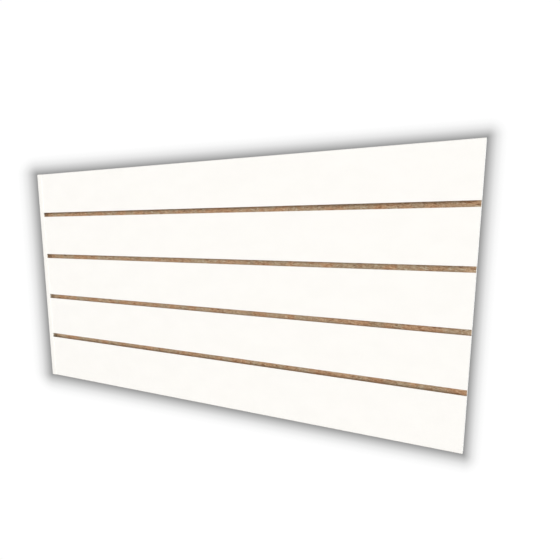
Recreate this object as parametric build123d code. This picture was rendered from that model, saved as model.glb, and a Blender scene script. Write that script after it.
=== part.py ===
from build123d import *
import os

# Slatwall panel. A particleboard is laminated white on the front and kraft brown on the back, and
# banded white along its edges. Four T-shaped grooves are then routed along it for display hooks, which
# cut the white front into five slats. An L-shaped trim, taped on, closes the grooves at the left end.
#
# Frame: the origin is the centre of the back face, which lies against the wall. X runs along the
# panel, Z is up, and the front faces -Y. All sizes are in millimetres.

# --- Driving dimensions -------------------------------------------------------------------------

# Finished panel
panel_length = 1219.2       # right edge band to the outside of the left end trim
panel_height = 609.6        # top edge band to bottom edge band

# Laminated board, from back to front
back_thickness = 0.55       # kraft balancing sheet
core_thickness = 17.70      # three-layer particleboard
face_thickness = 0.80       # white high-pressure laminate

# Edge bands, which cover the whole thickness of the laminated board
band_thickness = 0.80
band_arris = 0.30           # radius left along a band's outer corners by the flush trimmer

# Grooves: each is a mouth in the front face with a taller cavity behind it
groove_count = 4
groove_pitch = 121.92       # from one mouth's lower side to the next, starting at the top edge
mouth_height = 12.0
lip_depth = 6.0             # front face to the front wall of the cavity
cavity_height = 25.0
groove_depth = 13.0         # front face to the back wall of the cavity
cutter_radius = 0.80        # corners of the T-slot cutter
cutter_overrun = 5.0        # how far each cut runs out of the board

# Left end trim: an L-shaped strip whose long leg lies on the front, and its adhesive tape
trim_thickness = 1.00
trim_front_leg = 16.0
trim_corner_radius = 1.20
trim_inner_radius = 0.30
trim_lip_radius = 0.45      # free front corner of the long leg
tape_thickness = 0.25
tape_inset = 1.5            # how far each tape stops short of the edges it lies between

# --- Places worked out from them ----------------------------------------------------------------

board_thickness = back_thickness + core_thickness + face_thickness
front_y = -board_thickness
core_front_y = front_y + face_thickness
core_back_y = -back_thickness

right_x = panel_length / 2
left_x = -panel_length / 2
core_right_x = right_x - band_thickness
core_left_x = left_x + trim_thickness + tape_thickness

top_z = panel_height / 2
bottom_z = -panel_height / 2
core_top_z = top_z - band_thickness
core_bottom_z = bottom_z + band_thickness


def block(x_low, x_high, y_low, y_high, z_low, z_high):
    """A box between two corners."""
    centre = Pos((x_low + x_high) / 2, (y_low + y_high) / 2, (z_low + z_high) / 2)
    return centre * Box(x_high - x_low, y_high - y_low, z_high - z_low)


# --- Grooves ------------------------------------------------------------------------------------

def mouth_bottom(number):
    """Height of the lower side of a groove's mouth. Groove 1 is the highest."""
    return top_z - number * groove_pitch


def mouth_top(number):
    """Height of the upper side of a groove's mouth."""
    return mouth_bottom(number) + mouth_height


def groove(number):
    """The space that the cutters take out for one groove, all along the board."""
    x_low = left_x - cutter_overrun
    x_high = right_x + cutter_overrun
    middle = (mouth_bottom(number) + mouth_top(number)) / 2
    mouth = block(
        x_low, x_high,
        front_y - cutter_overrun, front_y + (lip_depth + groove_depth) / 2,
        mouth_bottom(number), mouth_top(number),
    )
    cavity = block(
        x_low, x_high,
        front_y + lip_depth, front_y + groove_depth,
        middle - cavity_height / 2, middle + cavity_height / 2,
    )
    cavity = fillet(cavity.edges().filter_by(Axis.X), cutter_radius)
    return mouth + cavity


def cut_grooves(piece):
    """Take every groove out of a piece."""
    for number in range(1, groove_count + 1):
        piece = piece - groove(number)
    return piece


# --- Board --------------------------------------------------------------------------------------

def make_core_board():
    """Particleboard with the T-shaped grooves routed from end to end."""
    board = block(core_left_x, core_right_x, core_front_y, core_back_y, core_bottom_z, core_top_z)
    return cut_grooves(board)


def make_back_sheet():
    """Thin kraft sheet bonded all over the back of the core."""
    return block(core_left_x, core_right_x, core_back_y, 0, core_bottom_z, core_top_z)


def make_slat_face(number):
    """White laminate on one slat, from the groove below it to the groove above it."""
    low = core_bottom_z if number == groove_count + 1 else mouth_top(number)
    high = core_top_z if number == 1 else mouth_bottom(number - 1)
    return block(core_left_x, core_right_x, front_y, core_front_y, low, high)


# --- Edge bands ---------------------------------------------------------------------------------

def make_top_edge_band():
    """White band glued along the top edge. It also covers the end of the right edge band."""
    band = block(core_left_x, right_x, front_y, 0, core_top_z, top_z)
    outer = band.faces().sort_by(Axis.Z)[-1].edges().filter_by(Axis.X)
    return fillet(outer, band_arris)


def make_bottom_edge_band():
    """White band glued along the bottom edge. It also covers the end of the right edge band."""
    band = block(core_left_x, right_x, front_y, 0, bottom_z, core_bottom_z)
    outer = band.faces().sort_by(Axis.Z)[0].edges().filter_by(Axis.X)
    return fillet(outer, band_arris)


def make_right_edge_band():
    """White band glued along the right end before routing, so the grooves run out through it."""
    band = block(core_right_x, right_x, front_y, 0, core_bottom_z, core_top_z)
    outer = band.faces().sort_by(Axis.X)[-1].edges().filter_by(Axis.Z)
    return cut_grooves(fillet(outer, band_arris))


# --- Left end trim ------------------------------------------------------------------------------

trim_front_y = front_y - tape_thickness - trim_thickness


def make_left_end_trim():
    """L-shaped strip round the left end, one leg on the front and one over the groove ends."""
    outer = block(left_x, left_x + trim_front_leg, trim_front_y, 0, bottom_z, top_z)
    upright = outer.edges().filter_by(Axis.Z)
    front_edges = upright.group_by(Axis.Y)[0].sort_by(Axis.X)
    outer = fillet(front_edges[0], trim_corner_radius)
    front_edges = outer.edges().filter_by(Axis.Z).group_by(Axis.Y)[0].sort_by(Axis.X)
    outer = fillet(front_edges[-1], trim_lip_radius)

    inner = block(
        left_x + trim_thickness, left_x + trim_front_leg + cutter_overrun,
        trim_front_y + trim_thickness, cutter_overrun,
        bottom_z - cutter_overrun, top_z + cutter_overrun,
    )
    corner = inner.edges().filter_by(Axis.Z).group_by(Axis.Y)[0].sort_by(Axis.X)[0]
    return outer - fillet(corner, trim_inner_radius)


def make_trim_tape_front():
    """Double-sided tape between the trim's front leg and the slats."""
    return block(
        core_left_x + tape_inset, left_x + trim_front_leg - tape_inset,
        front_y - tape_thickness, front_y,
        bottom_z + tape_inset, top_z - tape_inset,
    )


def make_trim_tape_end():
    """Double-sided tape between the trim's end leg and the cut end of the board."""
    return block(
        core_left_x - tape_thickness, core_left_x,
        front_y + tape_inset, -tape_inset,
        bottom_z + tape_inset, top_z - tape_inset,
    )


# --- Write one file for each piece --------------------------------------------------------------

def make_pieces():
    """Every piece of the panel, by name."""
    pieces = {"core_board": make_core_board()}
    for number in range(1, groove_count + 2):
        pieces[f"slat_face_{number}"] = make_slat_face(number)
    pieces["back_sheet"] = make_back_sheet()
    pieces["top_edge_band"] = make_top_edge_band()
    pieces["bottom_edge_band"] = make_bottom_edge_band()
    pieces["right_edge_band"] = make_right_edge_band()
    pieces["left_end_trim"] = make_left_end_trim()
    pieces["trim_tape_front"] = make_trim_tape_front()
    pieces["trim_tape_end"] = make_trim_tape_end()
    return pieces


os.makedirs("parts", exist_ok=True)
for name, piece in make_pieces().items():
    piece.label = name
    export_step(piece, f"parts/{name}.step")
    print(f"{name}: {len(piece.solids())} solid, {piece.volume / 1000:.1f} cm3")
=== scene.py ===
import bpy
import numpy as np
from mathutils import Matrix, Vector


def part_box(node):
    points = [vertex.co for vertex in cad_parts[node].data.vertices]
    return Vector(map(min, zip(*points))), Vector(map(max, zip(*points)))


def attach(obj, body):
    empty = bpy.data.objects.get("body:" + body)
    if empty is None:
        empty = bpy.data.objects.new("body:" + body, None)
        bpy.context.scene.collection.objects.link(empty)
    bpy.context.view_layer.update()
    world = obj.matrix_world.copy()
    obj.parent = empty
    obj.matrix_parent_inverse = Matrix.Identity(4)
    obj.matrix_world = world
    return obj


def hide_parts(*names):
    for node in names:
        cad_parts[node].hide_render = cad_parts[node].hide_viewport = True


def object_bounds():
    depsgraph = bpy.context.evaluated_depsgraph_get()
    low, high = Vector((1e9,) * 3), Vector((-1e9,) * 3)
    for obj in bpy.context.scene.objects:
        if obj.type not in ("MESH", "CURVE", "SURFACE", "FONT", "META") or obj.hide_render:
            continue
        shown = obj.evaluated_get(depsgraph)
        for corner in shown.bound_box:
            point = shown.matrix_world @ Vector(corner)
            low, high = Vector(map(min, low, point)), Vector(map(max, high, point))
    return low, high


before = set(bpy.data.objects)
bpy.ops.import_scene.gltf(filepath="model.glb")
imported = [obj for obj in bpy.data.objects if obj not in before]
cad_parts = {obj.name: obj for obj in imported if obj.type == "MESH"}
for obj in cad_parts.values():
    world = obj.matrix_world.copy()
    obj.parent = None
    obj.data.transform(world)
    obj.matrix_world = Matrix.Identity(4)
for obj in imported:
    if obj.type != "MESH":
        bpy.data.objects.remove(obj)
cad_low, cad_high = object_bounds()

# --- Core board ---------------------------------------------------------------------------------
# Flat-pressed particleboard: coarse flakes in the middle, fine dust towards both faces. The four T
# grooves are routed along it with a straight bit and a T-slot bit, which leave bare, slightly torn
# flakes on every groove wall. Everything else is glued or taped to this board.

GROOVES = 4
LIP_DEPTH = 0.0060          # white face to the front wall of the cavity
GROOVE_DEPTH = 0.0130       # white face to the back wall of the cavity
CAVITY_HEIGHT = 0.0250
CUTTER_RADIUS = 0.0008
TEAR_DEPTH = 0.00035        # the deepest that a flake is torn out of a wall
LARGE_TEAR = (0.0080, 0.0030)   # length along the board and width of the large torn flakes
SMALL_TEAR = (0.0030, 0.0016)
STATION = 0.0024            # spacing of the profiles along the board
CREASE = 35                 # degrees: a profile that turns by more has a sharp edge there

face_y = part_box("slat_face_1")[0].y
core_low, core_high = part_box("core_board")


def mouth(number):
    """Lower and upper side of a groove's mouth: the gap between the slats above and below it."""
    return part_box(f"slat_face_{number + 1}")[1].z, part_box(f"slat_face_{number}")[0].z


def line(start, end, steps):
    """Points at equal steps from start to end, without the end."""
    t = np.arange(steps)[:, None] / steps
    return (1 - t) * np.array(start) + t * np.array(end)


def rounded(corner, before, after, radius, steps=3):
    """A corner cut by a round cutter: the arc that touches both sides, from angle 0 to its end."""
    corner, before, after = (np.array(p, float) for p in (corner, before, after))
    a = (before - corner) / np.linalg.norm(before - corner)
    b = (after - corner) / np.linalg.norm(after - corner)
    t = np.linspace(0, np.pi / 2, steps)[:, None]
    return corner + radius * ((1 - np.sin(t)) * a + (1 - np.cos(t)) * b)


def groove_profile(number):
    """Section of one groove from its mouth's top edge round the cavity to its bottom edge, as y and z,
    with how much a flake may be torn out at each point."""
    low, high = mouth(number)
    middle = (low + high) / 2
    top, bottom = middle + CAVITY_HEIGHT / 2, middle - CAVITY_HEIGHT / 2
    front, back = face_y + LIP_DEPTH, face_y + GROOVE_DEPTH
    r = CUTTER_RADIUS
    upper_lip = line((core_low.y, high), (front, high), 4)
    lower_lip = line((front, low), (core_low.y, low), 4)
    parts = [
        upper_lip,
        line((front, high), (front, top - r), 4),
        rounded((front, top), (front, middle), (back, top), r),
        line((front + r, top), (back - r, top), 4)[1:],
        rounded((back, top), (front, top), (back, middle), r),
        line((back, top - r), (back, bottom + r), 13)[1:],
        rounded((back, bottom), (back, middle), (front, bottom), r),
        line((back - r, bottom), (front + r, bottom), 4)[1:],
        rounded((front, bottom), (back, bottom), (front, middle), r),
        line((front, bottom + r), (front, low), 4)[1:],
        lower_lip,
        np.array([(core_low.y, low)]),
    ]
    points = np.vstack(parts)
    tear = np.ones(len(points))
    tear[[0, -1]] = 0
    return points, tear


def board_profile():
    """Section of the whole board, anticlockwise as seen from the right end, and its tear weights."""
    points = [np.array([(core_high.y, core_high.z), (core_low.y, core_high.z)])]
    tears = [np.zeros(2)]
    for number in range(1, GROOVES + 1):
        p, t = groove_profile(number)
        points.append(p)
        tears.append(t)
    points.append(np.array([(core_low.y, core_low.z), (core_high.y, core_low.z)]))
    tears.append(np.zeros(2))
    return np.vstack(points), np.concatenate(tears)


def hills(u, v, size_u, size_v, seed):
    """Smooth random hills from 0 to 1: random heights at the corners of a size_u by size_v grid, blended
    across each cell by 3t^2 - 2t^3."""
    i, j = np.floor(u / size_u).astype(int), np.floor(v / size_v).astype(int)
    i0, j0 = i.min(), j.min()
    table = np.random.default_rng(seed).random((i.max() - i0 + 2, j.max() - j0 + 2))
    a, b = u / size_u - i, v / size_v - j
    a, b = a * a * (3 - 2 * a), b * b * (3 - 2 * b)
    i, j = i - i0, j - j0
    low = table[i, j] * (1 - a) + table[i + 1, j] * a
    high = table[i, j + 1] * (1 - a) + table[i + 1, j + 1] * a
    return low * (1 - b) + high * b


def carried(name, sections):
    """A closed profile carried along a path: sections is stations by points by 3. Neighbouring points and
    stations are joined by quads, and each end is closed by one face."""
    stations, count = sections.shape[:2]
    k = np.arange(stations * count).reshape(stations, count)
    a, b = k[:-1], k[1:]
    sides = np.stack([a, np.roll(a, -1, 1), np.roll(b, -1, 1), b], -1).reshape(-1, 4)
    faces = sides.tolist() + [k[0][::-1].tolist(), k[-1].tolist()]
    mesh = bpy.data.meshes.new(name)
    mesh.from_pydata(sections.reshape(-1, 3).tolist(), [], faces)
    mesh.shade_smooth()
    mesh.set_sharp_from_angle(angle=np.radians(CREASE))
    piece = bpy.data.objects.new(name, mesh)
    bpy.context.scene.collection.objects.link(piece)
    return piece


def routed_board():
    """The section carried from end to end. Each point on a groove wall is pushed into the board by 0.6 of
    the large hills cubed and 0.4 of the small hills squared, times TEAR_DEPTH and its tear weight."""
    profile, tear = board_profile()
    step = np.roll(profile, -1, 0) - np.roll(profile, 1, 0)
    inward = np.stack([-step[:, 1], step[:, 0]], -1)
    inward /= np.linalg.norm(inward, axis=1)[:, None]
    girth = np.cumsum(np.linalg.norm(profile - np.roll(profile, 1, 0), axis=1))
    length = core_high.x - core_low.x
    x = np.linspace(core_low.x, core_high.x, int(length / STATION) + 1)
    u, v = np.meshgrid(x, girth, indexing="ij")
    large = hills(u, v, *LARGE_TEAR, seed=11) ** 3
    small = hills(u, v, *SMALL_TEAR, seed=12) ** 2
    depth = TEAR_DEPTH * (0.6 * large + 0.4 * small) * tear
    depth[[0, -1]] = 0
    sections = np.empty(u.shape + (3,))
    sections[..., 0] = u
    sections[..., 1:] = profile + depth[..., None] * inward
    return carried("core_board_routed", sections)


def node(tree, kind, settings=None, **inputs):
    """A shader node with its settings. Each named input is given a value, or linked to an output."""
    made = tree.nodes.new("ShaderNode" + kind)
    for key, value in (settings or {}).items():
        setattr(made, key, value)
    for key, value in inputs.items():
        link_or_set(tree, made.inputs[key.replace("_", " ")], value)
    return made


def link_or_set(tree, socket, value):
    """Link an output to a socket, or set the socket's value."""
    if isinstance(value, bpy.types.NodeSocket):
        tree.links.new(value, socket)
    else:
        socket.default_value = value


def math(tree, operation, *values):
    """One number worked out from others."""
    made = tree.nodes.new("ShaderNodeMath")
    made.operation = operation
    for socket, value in zip(made.inputs, values):
        link_or_set(tree, socket, value)
    return made.outputs[0]


def mixed(tree, factor, first, second, blend="MIX"):
    """A colour between two colours."""
    made = tree.nodes.new("ShaderNodeMix")
    made.data_type = "RGBA"
    made.blend_type = blend
    for index, value in ((0, factor), (6, first), (7, second)):
        link_or_set(tree, made.inputs[index], value)
    return made.outputs[2]


def ramp(tree, factor, stops):
    """A colour read off a ramp: stops are (place, (red, green, blue))."""
    made = tree.nodes.new("ShaderNodeValToRGB")
    tree.links.new(factor, made.inputs[0])
    points = made.color_ramp.elements
    while len(points) < len(stops):
        points.new(0.5)
    for point, (place, colour) in zip(points, stops):
        point.position = place
        point.color = (*colour, 1)
    return made.outputs["Color"]


def between(tree, factor, start, stop, low=0.0, high=1.0):
    """A number that goes from low to high as the factor goes from start to stop, and stays there."""
    made = node(tree, "MapRange", Value=factor, From_Min=start, From_Max=stop, To_Min=low, To_Max=high)
    return made.outputs["Result"]


def scaled(tree, place, sizes, turn=0.0):
    """Coordinates in which a pattern's features have these sizes, in metres, along X, Y and Z. A turn, in
    degrees, lays them at an angle in the plane of the board."""
    made = node(tree, "Mapping", {"vector_type": "TEXTURE"}, Vector=place)
    made.inputs["Scale"].default_value = sizes
    made.inputs["Rotation"].default_value[1] = np.radians(turn)
    return made.outputs["Vector"]


def noise(tree, place, sizes, turn=0.0, detail=2.0):
    """Smooth noise round 0.5, with features of these sizes, in metres."""
    made = node(tree, "TexNoise", Vector=scaled(tree, place, sizes, turn), Scale=1.0, Detail=detail)
    return made.outputs[0]


def grey(tree, value):
    """A number as a colour."""
    return node(tree, "CombineColor", Red=value, Green=value, Blue=value).outputs[0]


def principled(name, shine):
    """A new material with this specular level: its node tree, its shader and the piece's own
    coordinates."""
    material = bpy.data.materials.new(name)
    material.use_nodes = True
    tree = material.node_tree
    shader = tree.nodes["Principled BSDF"]
    shader.inputs["Specular IOR Level"].default_value = shine
    place = tree.nodes.new("ShaderNodeTexCoord").outputs["Object"]
    return material, tree, shader, place


def finish(tree, shader, colour, roughness, height, depth):
    """Join a colour, a roughness and a relief of this depth, in metres, to a shader."""
    tree.links.new(colour, shader.inputs["Base Color"])
    tree.links.new(roughness, shader.inputs["Roughness"])
    bump = node(tree, "Bump", Height=height, Strength=1.0, Distance=depth)
    tree.links.new(bump.outputs[0], shader.inputs["Normal"])


# splinters laid one layer over another: length, thickness and width in metres, angle, share of the area
SPLINTERS = [
    ((0.0040, 0.0006, 0.0010), 64.0, 0.40),
    ((0.0058, 0.0007, 0.0012), -27.0, 0.40),
    ((0.0076, 0.0008, 0.0014), 11.0, 0.42),
]
WOOD = [(0.00, (0.220, 0.113, 0.057)), (0.08, (0.395, 0.225, 0.122)), (0.30, (0.540, 0.350, 0.212)),
        (0.60, (0.610, 0.424, 0.273)), (0.88, (0.690, 0.525, 0.356)), (1.00, (0.745, 0.629, 0.459))]
DUST = [(0.00, (0.313, 0.174, 0.096)), (0.25, (0.500, 0.328, 0.199)), (0.75, (0.610, 0.435, 0.279)),
        (1.00, (0.707, 0.554, 0.382))]
DUST_CELL = (0.0014, 0.0004, 0.0007)
FINE_LAYER = 0.0022         # the dusty layer under each face
CORE_FROM = 0.0038          # how deep the coarse flakes have fully taken over
FRAY_SIZE = 0.0005          # the flakes' outlines wander: how often, and how far from side to side
FRAY_REACH = 0.0003
RIM = 0.09                  # width of a splinter's dark rim, as a share of its cell


def frayed(tree, place, size, reach):
    """The coordinates shifted by up to half of reach, in metres, by noise with features of this size."""
    wander = node(tree, "TexNoise", Vector=scaled(tree, place, (size, size, size)), Scale=1.0, Detail=5.0)
    centred = node(tree, "VectorMath", {"operation": "SUBTRACT"}, Vector=wander.outputs["Color"])
    centred.inputs[1].default_value = (0.5, 0.5, 0.5)
    shift = node(tree, "VectorMath", {"operation": "SCALE"}, Vector=centred.outputs[0], Scale=reach)
    moved = tree.nodes.new("ShaderNodeVectorMath")
    tree.links.new(place, moved.inputs[0])
    tree.links.new(shift.outputs[0], moved.inputs[1])
    return moved.outputs[0]


def laid(tree, place, sizes, turn):
    """Coordinates that count in splinters of these sizes, laid at an angle. The count along the grain is
    shifted by noise that changes fast across it, so the ends are ragged and the sides stay straight."""
    long, thick, wide = sizes
    fibres = noise(tree, place, (long * 0.5, thick * 0.15, wide * 0.10), turn)
    shift = node(tree, "CombineXYZ", X=between(tree, fibres, 0.3, 0.7, -0.12, 0.12))
    moved = tree.nodes.new("ShaderNodeVectorMath")
    tree.links.new(scaled(tree, place, sizes, turn), moved.inputs[0])
    tree.links.new(shift.outputs[0], moved.inputs[1])
    return moved.outputs[0]


def particleboard():
    """Fine dust as small random cells, with three layers of splinters over it: long, thin cells laid at
    angles, present where their own random number allows, and only in the core. Each has its tone, its
    height, a fine grain along it and a dark rim. The whole drifts slowly between redder and paler wood."""
    material, tree, shader, place = principled("particleboard", 0.25)
    ragged = frayed(tree, place, FRAY_SIZE, FRAY_REACH)
    dust = node(tree, "TexVoronoi", Vector=scaled(tree, ragged, DUST_CELL), Scale=1.0)
    speck = node(tree, "SeparateColor", Color=dust.outputs["Color"])
    tone = ramp(tree, speck.outputs["Red"], DUST)
    height = math(tree, "MULTIPLY", speck.outputs["Green"], 0.5)
    y = node(tree, "SeparateXYZ", Vector=ragged).outputs["Y"]
    in_front = math(tree, "SUBTRACT", y, core_low.y)
    depth = math(tree, "MINIMUM", in_front, math(tree, "SUBTRACT", core_high.y, y))
    coarse = between(tree, depth, FINE_LAYER, CORE_FROM)
    for sizes, turn, share in SPLINTERS:
        long, thick, wide = sizes
        lie = laid(tree, ragged, sizes, turn)
        cells = node(tree, "TexVoronoi", Vector=lie, Scale=1.0)
        cell = node(tree, "SeparateColor", Color=cells.outputs["Color"])
        rims = node(tree, "TexVoronoi", {"feature": "DISTANCE_TO_EDGE"}, Vector=lie, Scale=1.0)
        rim = between(tree, rims.outputs["Distance"], 0.0, RIM, 0.62, 1.0)
        grain = noise(tree, place, (long * 0.8, thick * 0.15, wide * 0.10), turn)
        shade = math(tree, "MULTIPLY", rim, between(tree, grain, 0.3, 0.7, 0.88, 1.08))
        wood = mixed(tree, 1.0, ramp(tree, cell.outputs["Red"], WOOD), grey(tree, shade), "MULTIPLY")
        there = math(tree, "LESS_THAN", cell.outputs["Green"], math(tree, "MULTIPLY", coarse, share))
        tone = mixed(tree, there, tone, wood)
        lift = math(tree, "MULTIPLY", rim, between(tree, cell.outputs["Blue"], 0.0, 1.0, 0.4, 1.0))
        height = math(tree, "ADD", math(tree, "MULTIPLY", there, lift),
                      math(tree, "MULTIPLY", math(tree, "SUBTRACT", 1.0, there), height))
    drift = noise(tree, place, (0.030, 0.015, 0.020), detail=1.0)
    tint = ramp(tree, drift, [(0.38, (1.01, 0.90, 0.82)), (0.62, (0.93, 1.00, 1.02))])
    streaks = noise(tree, place, (0.030, 0.00012, 0.00012))
    streaked = grey(tree, between(tree, streaks, 0.3, 0.7, 0.94, 1.03))
    tone = mixed(tree, 1.0, mixed(tree, 1.0, tone, tint, "MULTIPLY"), streaked, "MULTIPLY")
    finish(tree, shader, tone, between(tree, speck.outputs["Blue"], 0.0, 1.0, 0.75, 0.95), height, 0.00025)
    return material


core = routed_board()
core.data.materials.append(particleboard())
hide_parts("core_board")
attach(core, "root")

# --- Slat faces ---------------------------------------------------------------------------------
# White high-pressure laminate: a thin decorative skin on layers of brown kraft paper. It was one sheet
# until the grooves were routed through it, so each slat's edges along a mouth are cut, very slightly
# eased, and nicked here and there where the bit lifted the skin.

SKIN = 0.00014              # the white layer, before the kraft shows
EASED = 0.00016             # radius on the cut edges
NICKS = 5                   # on each routed edge
NICK_DEPTH = 0.00025
NICK_HALF = (0.0005, 0.0011)    # half of a nick's length, from the shortest to the longest
NICK_CLEAR = (0.030, 0.010)     # the stretch with no nick at the left end, trim and all, and at the right
MARGIN = 0.0010             # how far from an edge the flat front starts, so that a nick's dent ends there


def slat_sections(low, high, seed, routed):
    """Section of the sheet carried along it. The two front corners are arcs of radius EASED. At a nick
    the corner sinks into the slat by a hump, 1 - s^2 of the distance s from the nick's middle, and by 0.8
    of that from the front. routed says for the top and the bottom edge whether the groove bit cut it,
    and left nicks."""
    random = np.random.default_rng(seed)
    middles = random.uniform(low.x + NICK_CLEAR[0], high.x - NICK_CLEAR[1], (2, NICKS))
    halves = random.uniform(*NICK_HALF, (2, NICKS))
    depths = NICK_DEPTH * random.uniform(0.5, 1.0, (2, NICKS)) * np.array(routed)[:, None]
    near = middles[..., None] + halves[..., None] * np.linspace(-1, 1, 7)
    x = np.unique(np.concatenate([np.linspace(low.x, high.x, 81), near.ravel()]))
    top = rounded((low.y, high.z), (high.y, high.z), (low.y, low.z), EASED, 4)
    foot = rounded((low.y, low.z), (low.y, high.z), (high.y, low.z), EASED, 4)
    near_top, near_foot = (low.y, high.z - MARGIN), (low.y, low.z + MARGIN)
    front = line((low.y, high.z - 2 * MARGIN), (low.y, low.z + 2 * MARGIN), 6)
    profile = np.vstack([[(high.y, high.z)], top, [near_top], front, [(low.y, low.z + 2 * MARGIN)],
                         [near_foot], foot, [(high.y, low.z)]])
    sections = np.empty((len(x), len(profile), 3))
    sections[..., 0] = x[:, None]
    sections[..., 1:] = profile
    for edge, rows, way in ((0, slice(1, 5), -1), (1, slice(-5, -1), 1)):
        s = (x[:, None] - middles[edge]) / halves[edge]
        sink = (depths[edge] * np.clip(1 - s * s, 0, 1)).max(1)[:, None]
        sections[:, rows, 1] += sink * 0.8
        sections[:, rows, 2] += way * sink
    return sections


def white_laminate():
    """Warm white skin with a fine pearl texture, faint clouding and the odd smudge in its sheen. Behind
    the skin the cut edge shows the layers of kraft."""
    material, tree, shader, place = principled("white_laminate", 0.40)
    clouds = noise(tree, place, (0.060, 0.060, 0.035), detail=3.0)
    white = ramp(tree, clouds, [(0.35, (0.913, 0.894, 0.857)), (0.65, (0.925, 0.906, 0.870))])
    layers = noise(tree, place, (0.004, 0.00012, 0.004), detail=1.0)
    kraft = ramp(tree, layers, [(0.38, (0.170, 0.100, 0.052)), (0.60, (0.290, 0.185, 0.105))])
    y = node(tree, "SeparateXYZ", Vector=place).outputs["Y"]
    colour = mixed(tree, math(tree, "GREATER_THAN", y, face_y + SKIN), white, kraft)
    smudges = noise(tree, place, (0.022, 0.022, 0.014), detail=4.0)
    pearl = noise(tree, place, (0.00040, 0.00040, 0.00040))
    finish(tree, shader, colour, between(tree, smudges, 0.35, 0.65, 0.36, 0.46), pearl, 0.00005)
    return material


laminate = white_laminate()
for number in range(1, GROOVES + 2):
    low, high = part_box(f"slat_face_{number}")
    routed = (number > 1, number <= GROOVES)
    slat = carried(f"slat_face_{number}_skin", slat_sections(low, high, 20 + number, routed))
    slat.data.materials.append(laminate)
    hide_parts(f"slat_face_{number}")
    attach(slat, "root")

# --- Back sheet ---------------------------------------------------------------------------------
# Brown kraft balancing paper bonded all over the back, so that the board stays flat. It is plain and
# fibrous, with faint cloudy patches where the resin soaked in unevenly.

FIBRE_TURNS = (0.0, 33.0, -41.0, 78.0)
PALE_FIBRE = (0.450, 0.330, 0.205, 1)
DARK_FIBRE = (0.165, 0.098, 0.050, 1)


def kraft_paper():
    """Brown, clouded where the resin soaked in unevenly. Short fibres, paler or darker than the rest, lie
    at a few angles, and fine lines from the press belt run along the panel."""
    material, tree, shader, place = principled("kraft_backer", 0.30)
    pulp = noise(tree, place, (0.0012, 0.0012, 0.0008), detail=4.0)
    tone = ramp(tree, pulp, [
        (0.35, (0.240, 0.150, 0.078)), (0.50, (0.298, 0.194, 0.106)), (0.65, (0.350, 0.238, 0.138))])
    height = pulp
    for turn in FIBRE_TURNS:
        fibre = noise(tree, place, (0.0030, 0.0030, 0.00022), turn, detail=1.0)
        pale = between(tree, fibre, 0.64, 0.72)
        tone = mixed(tree, pale, tone, PALE_FIBRE)
        tone = mixed(tree, between(tree, fibre, 0.34, 0.26, 0.0, 0.7), tone, DARK_FIBRE)
        height = math(tree, "ADD", height, math(tree, "MULTIPLY", pale, 0.5))
    blots = noise(tree, place, (0.060, 0.060, 0.035), detail=3.0)
    blot = ramp(tree, blots, [(0.35, (0.93, 0.92, 0.91)), (0.65, (1.03, 1.02, 1.01))])
    belt = grey(tree, between(tree, noise(tree, place, (0.4, 0.0010, 0.0009)), 0.3, 0.7, 0.95, 1.04))
    tone = mixed(tree, 1.0, mixed(tree, 1.0, tone, blot, "MULTIPLY"), belt, "MULTIPLY")
    finish(tree, shader, tone, between(tree, blots, 0.35, 0.65, 0.60, 0.78), height, 0.00006)
    return material


def finish_node(name, material):
    """Give a CAD piece its material."""
    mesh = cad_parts[name].data
    mesh.materials.clear()
    mesh.materials.append(material)


finish_node("back_sheet", kraft_paper())

# --- Edge bands ---------------------------------------------------------------------------------
# White melamine band, glued along the top and bottom edges and up the right end, then trimmed flush
# with its outer corners broken. A hair of glue shows where it meets the board.

GLUE_LINE = 0.00009


def edge_band():
    """Smooth white with a fine pearl, and a hairline of hot-melt glue along the joint."""
    material, tree, shader, place = principled("edge_banding", 0.40)
    clouds = noise(tree, place, (0.050, 0.010, 0.050))
    white = ramp(tree, clouds, [(0.35, (0.900, 0.894, 0.872)), (0.65, (0.912, 0.906, 0.885))])
    at = node(tree, "SeparateXYZ", Vector=place)
    past_x = math(tree, "SUBTRACT", at.outputs["X"], core_high.x)
    past_z = math(tree, "SUBTRACT", math(tree, "ABSOLUTE", at.outputs["Z"]), core_high.z)
    joint = math(tree, "LESS_THAN", math(tree, "MAXIMUM", past_x, past_z), GLUE_LINE)
    colour = mixed(tree, joint, white, (0.56, 0.47, 0.33, 1))
    pearl = noise(tree, place, (0.00045, 0.00045, 0.00045))
    finish(tree, shader, colour, between(tree, clouds, 0.35, 0.65, 0.38, 0.46), pearl, 0.00004)
    return material


banding = edge_band()
for name in ("top_edge_band", "bottom_edge_band", "right_edge_band"):
    finish_node(name, banding)

# --- Left end trim and its tape -----------------------------------------------------------------
# Extruded white plastic angle, cut to the panel's height. Its long leg laps the slats and closes the
# groove ends, and its short leg covers the board's cut end. Two strips of double-sided tape hold it.

TRIM_THICKNESS = 0.0010
TRIM_CORNER = 0.0012
TRIM_INNER = 0.0003
TRIM_LIP = 0.00045


def trim_sections():
    """The angle's section carried up the panel: arcs on its outer corner, inner corner and free lip."""
    low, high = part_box("left_end_trim")
    t = TRIM_THICKNESS
    section = np.vstack([
        rounded((low.x, low.y), (low.x, high.y), (high.x, low.y), TRIM_CORNER, 9),
        rounded((high.x, low.y), (low.x, low.y), (high.x, low.y + t), TRIM_LIP, 5),
        [(high.x, low.y + t)],
        rounded((low.x + t, low.y + t), (high.x, low.y + t), (low.x + t, high.y), TRIM_INNER, 4),
        [(low.x + t, high.y), (low.x, high.y)],
    ])
    z = np.linspace(low.z, high.z, 41)
    sections = np.empty((len(z), len(section), 3))
    sections[..., :2] = section
    sections[..., 2] = z[:, None]
    return sections


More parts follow.
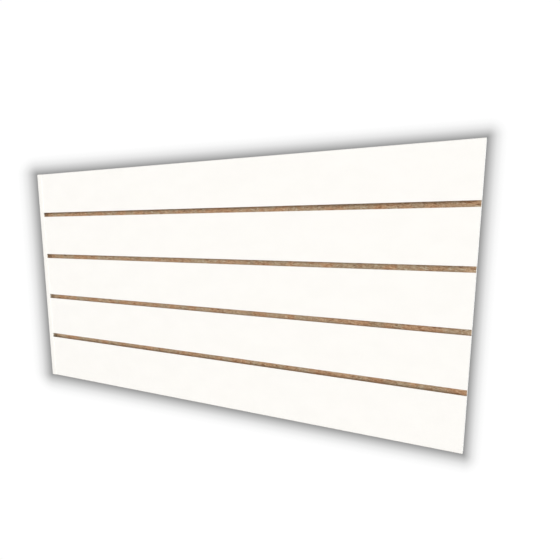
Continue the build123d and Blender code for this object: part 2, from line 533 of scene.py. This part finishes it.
def extruded_plastic():
    """Clean white plastic with the die's faint lines running up it."""
    material, tree, shader, place = principled("white_pvc", 0.50)
    lines = noise(tree, place, (0.00035, 0.00035, 0.060))
    colour = ramp(tree, lines, [(0.35, (0.886, 0.867, 0.825)), (0.65, (0.898, 0.879, 0.838))])
    finish(tree, shader, colour, between(tree, lines, 0.35, 0.65, 0.28, 0.36), lines, 0.00002)
    return material


def double_sided_tape():
    """Milky adhesive with small trapped bubbles."""
    material, tree, shader, place = principled("adhesive_tape", 0.50)
    bubbles = node(tree, "TexVoronoi", Vector=scaled(tree, place, (0.0020, 0.0020, 0.0020)), Scale=1.0)
    colour = ramp(tree, bubbles.outputs["Distance"], [(0.1, (0.80, 0.79, 0.72)), (0.5, (0.68, 0.67, 0.60))])
    finish(tree, shader, colour, between(tree, bubbles.outputs["Distance"], 0.0, 0.5, 0.35, 0.55),
           bubbles.outputs["Distance"], 0.00003)
    return material


trim = carried("left_end_trim_angle", trim_sections())
trim.data.materials.append(extruded_plastic())
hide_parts("left_end_trim")
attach(trim, "root")
tape = double_sided_tape()
for name in ("trim_tape_front", "trim_tape_end"):
    finish_node(name, tape)

# --- Wall, floor and light ----------------------------------------------------------------------
# The panel lies on a white wall with a soft shadow painted round it, over a plain pale floor, in soft even
# light.
# The wall shows only from its front, so that the panel's back can be seen.

WALL_GAP = 0.001
FLOOR_DROP = 0.90
ROOM = 6.0
WORLD_LEVEL = 0.41          # light from all round; the world itself is seen as white
# the floor's tone for the light that it throws back, and for the camera, which also sees it glow
FLOOR_TONE, FLOOR_SEEN, FLOOR_GLOW = 0.86, 0.22, 0.88
# the painted shade's tones, from the panel's outline to where it has faded into the white wall
PAINTED_SHADE_TONES = [(0.00, 0.30), (0.25, 0.57), (0.50, 0.81), (0.75, 0.95), (1.00, 1.01)]
# where the painted shade starts past each side, and how far it reaches, at the left and at the right end
PAINTED_SHADE_START = {"left": 0.028, "right": 0.000, "foot": 0.009, "top": 0.004}
PAINTED_SHADE_REACH = {"left": (0.096, 0.096), "right": (0.036, 0.036),
               "foot": (0.069, 0.045), "top": (0.057, 0.036)}


def flat(name, corners):
    """A four-cornered sheet."""
    mesh = bpy.data.meshes.new(name)
    mesh.from_pydata(corners, [], [(0, 1, 2, 3)])
    sheet = bpy.data.objects.new(name, mesh)
    bpy.context.scene.collection.objects.link(sheet)
    return sheet


def wall_painted_shade():
    """White, with a soft shadow painted round the panel that fades with the distance past the panel's
    outline. The painted shadow is longest on the left and shrinks towards the right. The wall takes no
    light: it glows with this painted colour, and only a camera in front of the wall sees it."""
    material = bpy.data.materials.new("wall_painted_shade")
    material.use_nodes = True
    tree = material.node_tree
    tree.nodes.clear()
    place = tree.nodes.new("ShaderNodeTexCoord").outputs["Object"]
    at = node(tree, "SeparateXYZ", Vector=place)
    past = {}
    for side, axis, way, edge in (("left", "X", -1, -cad_low.x), ("right", "X", 1, cad_high.x),
                                  ("foot", "Z", -1, -cad_low.z), ("top", "Z", 1, cad_high.z)):
        out = math(tree, "MULTIPLY", at.outputs[axis], way)
        out = math(tree, "SUBTRACT", out, edge + PAINTED_SHADE_START[side])
        reach = node(tree, "MapRange", Value=at.outputs["X"], From_Min=cad_low.x, From_Max=cad_high.x,
                     To_Min=PAINTED_SHADE_REACH[side][0], To_Max=PAINTED_SHADE_REACH[side][1])
        past[side] = math(tree, "DIVIDE", out, reach.outputs["Result"])
    across = math(tree, "MAXIMUM", math(tree, "MAXIMUM", past["left"], past["right"]), 0.0)
    up = math(tree, "MAXIMUM", math(tree, "MAXIMUM", past["foot"], past["top"]), 0.0)
    away = math(tree, "SQRT", math(tree, "ADD", math(tree, "MULTIPLY", across, across),
                                   math(tree, "MULTIPLY", up, up)))
    # painted shadow: the wall's own colour darkens towards the panel's outline, in place of the shade the
    # panel would cast
    shade = ramp(tree, away, [(stop, (tone, tone, tone)) for stop, tone in PAINTED_SHADE_TONES])
    glow = node(tree, "Emission", Color=shade, Strength=1.0)
    rays = tree.nodes.new("ShaderNodeLightPath")
    front = tree.nodes.new("ShaderNodeNewGeometry")
    seen = math(tree, "MULTIPLY", rays.outputs["Is Camera Ray"],
                math(tree, "SUBTRACT", 1.0, front.outputs["Backfacing"]))
    shown = tree.nodes.new("ShaderNodeMixShader")
    tree.links.new(seen, shown.inputs[0])
    tree.links.new(tree.nodes.new("ShaderNodeBsdfTransparent").outputs[0], shown.inputs[1])
    tree.links.new(glow.outputs[0], shown.inputs[2])
    tree.links.new(shown.outputs[0], tree.nodes.new("ShaderNodeOutputMaterial").inputs[0])
    return material


def floor_paint():
    """Pale floor that throws its light back at the panel, and white where the camera sees it unshaded."""
    material, tree, shader, _ = principled("floor_paint", 0.2)
    shader.inputs["Roughness"].default_value = 0.8
    camera_ray = tree.nodes.new("ShaderNodeLightPath").outputs["Is Camera Ray"]
    tone = grey(tree, between(tree, camera_ray, 0.0, 1.0, FLOOR_TONE, FLOOR_SEEN))
    tree.links.new(tone, shader.inputs["Base Color"])
    shader.inputs["Emission Color"].default_value = (1, 1, 1, 1)
    tree.links.new(math(tree, "MULTIPLY", camera_ray, FLOOR_GLOW), shader.inputs["Emission Strength"])
    return material


wall_y = cad_high.y + WALL_GAP
floor_z = cad_low.z - FLOOR_DROP
wall = flat("wall", [(-ROOM, wall_y, floor_z), (ROOM, wall_y, floor_z),
                     (ROOM, wall_y, ROOM), (-ROOM, wall_y, ROOM)])
# the wall's colour holds the painted shadow round the panel
wall.data.materials.append(wall_painted_shade())
floor = flat("floor", [(-ROOM, -ROOM, floor_z), (ROOM, -ROOM, floor_z),
                       (ROOM, ROOM, floor_z), (-ROOM, ROOM, floor_z)])
floor.data.materials.append(floor_paint())


def softbox(name, place, width, height, watts, shines):
    """A rectangular lamp that faces the panel's middle. shines says whether glossy surfaces mirror it."""
    lamp = bpy.data.lights.new(name, "AREA")
    lamp.shape = "RECTANGLE"
    lamp.size = width
    lamp.size_y = height
    lamp.energy = watts
    made = bpy.data.objects.new(name, lamp)
    bpy.context.scene.collection.objects.link(made)
    made.location = place
    made.rotation_euler = (-made.location).to_track_quat("-Z", "Y").to_euler()
    made.visible_camera = False
    made.visible_glossy = shines


# far off to the right and tall, so that it reaches into the groove ends that the trim covers
softbox("right_box", (33.2, -22.0, 3.8), 4.6, 15.0, 10450, True)
softbox("front_box", (-1.5, -8.0, 1.5), 3.0, 3.4, 171, False)
# low light for the brown back
softbox("rear_box", (-0.8, 2.6, 1.0), 1.8, 1.8, 55, True)

world = bpy.data.worlds.new("room")
bpy.context.scene.world = world
world.use_nodes = True
sky = world.node_tree
rays = sky.nodes.new("ShaderNodeLightPath")
seen = math(sky, "MAXIMUM", rays.outputs["Is Camera Ray"], rays.outputs["Is Glossy Ray"])
seen = math(sky, "MAXIMUM", seen, rays.outputs["Is Transmission Ray"])
sky.links.new(between(sky, seen, 0.0, 1.0, WORLD_LEVEL, 1.0), sky.nodes["Background"].inputs["Strength"])
sky.nodes["Background"].inputs["Color"].default_value = (1, 1, 1, 1)

# --- Camera -------------------------------------------------------------------------------------
# A wide lens close to the panel, right of its middle, turned left and tilted down.

CAMERA_PLACE = (0.6450, -0.9222, 0.1137)
TURN, TILT, ROLL = 25.025, -9.105, 0.572
LENS = 28.25                # millimetres, on a 36 mm sensor
SHIFT = (-0.0194, 0.0593)

camera = bpy.data.objects.new("camera", bpy.data.cameras.new("camera"))
bpy.context.scene.collection.objects.link(camera)
camera.data.lens = LENS
camera.data.sensor_width = 36
camera.data.shift_x, camera.data.shift_y = SHIFT
turned = Matrix.Rotation(np.radians(TURN), 4, "Z")
tilted = Matrix.Rotation(np.radians(90 + TILT), 4, "X")
rolled = Matrix.Rotation(np.radians(ROLL), 4, "Z")
camera.matrix_world = Matrix.Translation(CAMERA_PLACE) @ turned @ tilted @ rolled
bpy.context.scene.camera = camera
bpy.context.scene.view_settings.view_transform = "Standard"
